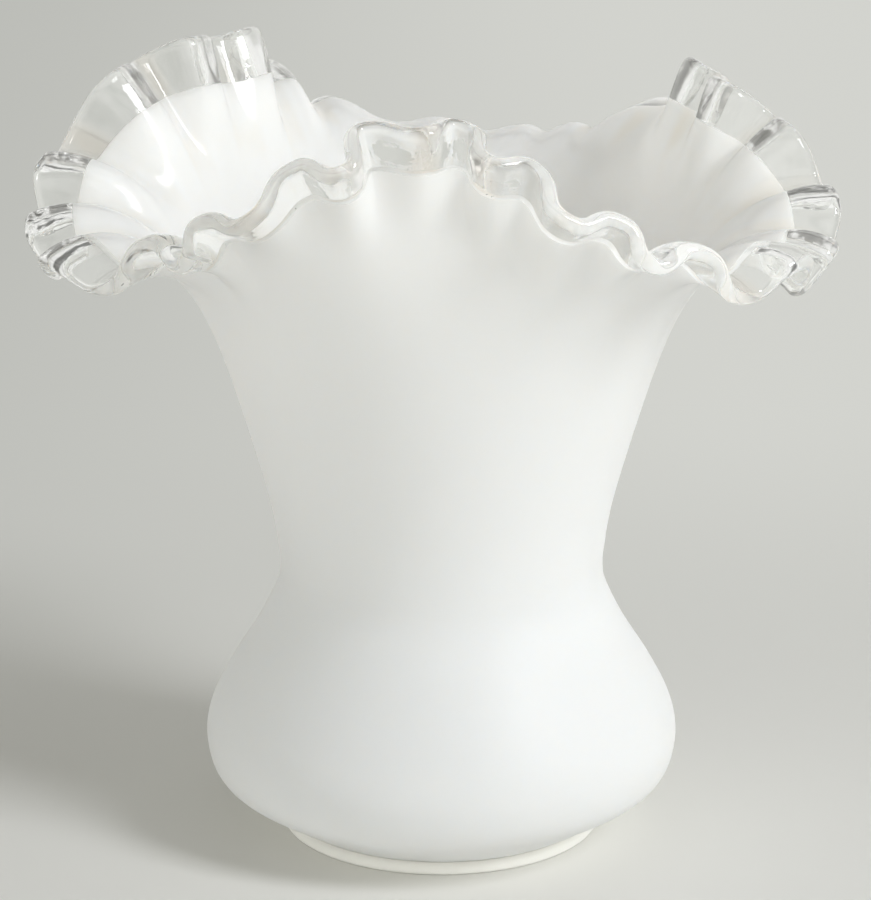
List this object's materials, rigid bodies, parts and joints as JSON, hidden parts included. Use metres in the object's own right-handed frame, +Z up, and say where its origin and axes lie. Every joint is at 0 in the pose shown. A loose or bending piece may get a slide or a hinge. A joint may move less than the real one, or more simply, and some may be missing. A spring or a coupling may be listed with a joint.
{
  "type": "crimped vase",
  "caption": "Opal glass vase with a round bulb on a low foot, a drawn-in waist and a wide flared, folded and crimped rim edged with clear glass.",
  "frame": {"origin": "centre of the foot's flat underside, on the axis of the bulb", "axes": "+Z up along the axis of the bulb; +X to the right and -Y towards the viewer in the picture's view"},
  "size_m": [0.1998, 0.1936, 0.202],
  "materials": {
    "foot": "gloss",
    "opal_body": "gloss",
    "clear_crest": "gloss"
  },
  "bodies": {
    "root": {"foot": "foot", "opal_body": "opal_body", "clear_crest": "clear_crest"}
  },
  "joints": []
}
